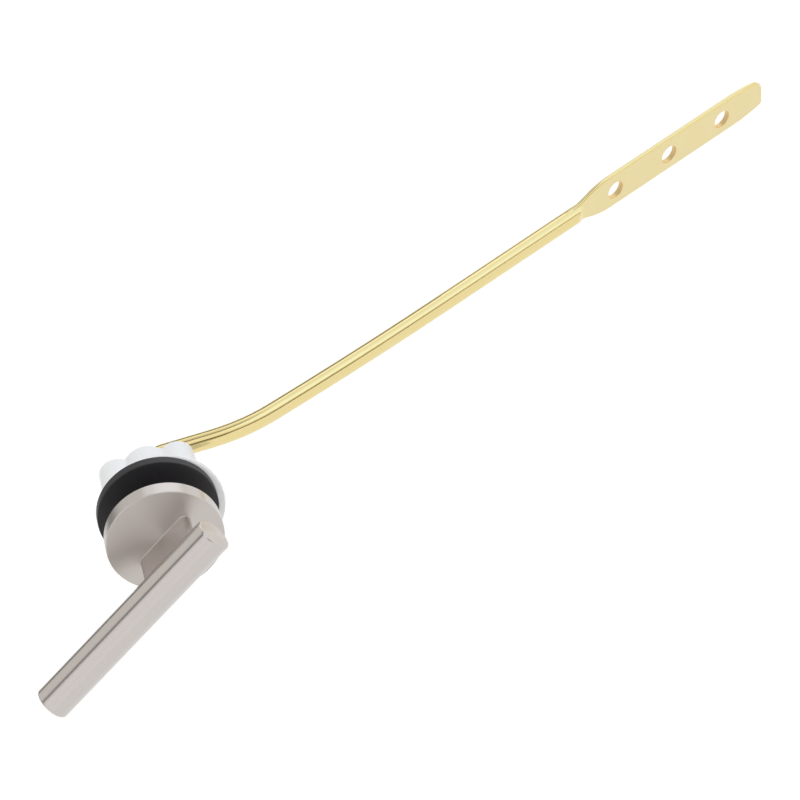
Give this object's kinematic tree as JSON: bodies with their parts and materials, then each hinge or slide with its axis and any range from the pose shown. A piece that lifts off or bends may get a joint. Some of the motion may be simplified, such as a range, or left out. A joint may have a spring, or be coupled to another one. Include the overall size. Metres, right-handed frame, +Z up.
{
  "type": "cistern lever",
  "caption": "Front-mounted cistern flush lever: round bar handle on a hub plate, threaded bushing with gasket and wing nut, bent brass trip arm with chain holes.",
  "frame": {"origin": "on the lever's turning axis, on the outer face of the tank wall, where the bushing's flange seats", "axes": "+Y along the turning axis into the tank, +Z up, so the user looks along +Y with the handle pointing to -X"},
  "size_m": [0.2736, 0.1893, 0.1725],
  "materials": {
    "brushed_nickel": "satin, turned",
    "plated_bushing": "dull plated",
    "black_rubber": "matte",
    "white_washer": "moulded",
    "white_plastic": "moulded",
    "brass": "bright drawn"
  },
  "bodies": {
    "mount": {"threaded_bushing": "plated_bushing"},
    "lever": {"lever_handle": "brushed_nickel", "trip_arm": "brass"},
    "clamp": {"rubber_gasket": "black_rubber", "slip_washer": "white_washer"},
    "nut": {"wing_nut": "white_plastic"}
  },
  "joints": [
    {"name": "lever_turn", "type": "hinge", "parent": "mount", "child": "lever", "pos_m": [0, 0, 0], "axis": [0, -1, 0], "range_deg": [0, 40]},
    {"name": "clamp_slide", "type": "slide", "parent": "mount", "child": "clamp", "axis": [0, -1, 0], "range_m": [0, 0.005]},
    {"name": "nut_turn", "type": "hinge", "parent": "clamp", "child": "nut", "pos_m": [0, 0, 0], "axis": [0, 1, 0], "range_deg": [0, 1200]}
  ],
  "couplings": [
    {"joint": "clamp_slide", "follows": "nut_turn", "m_per_rad": 0.00023873}
  ]
}
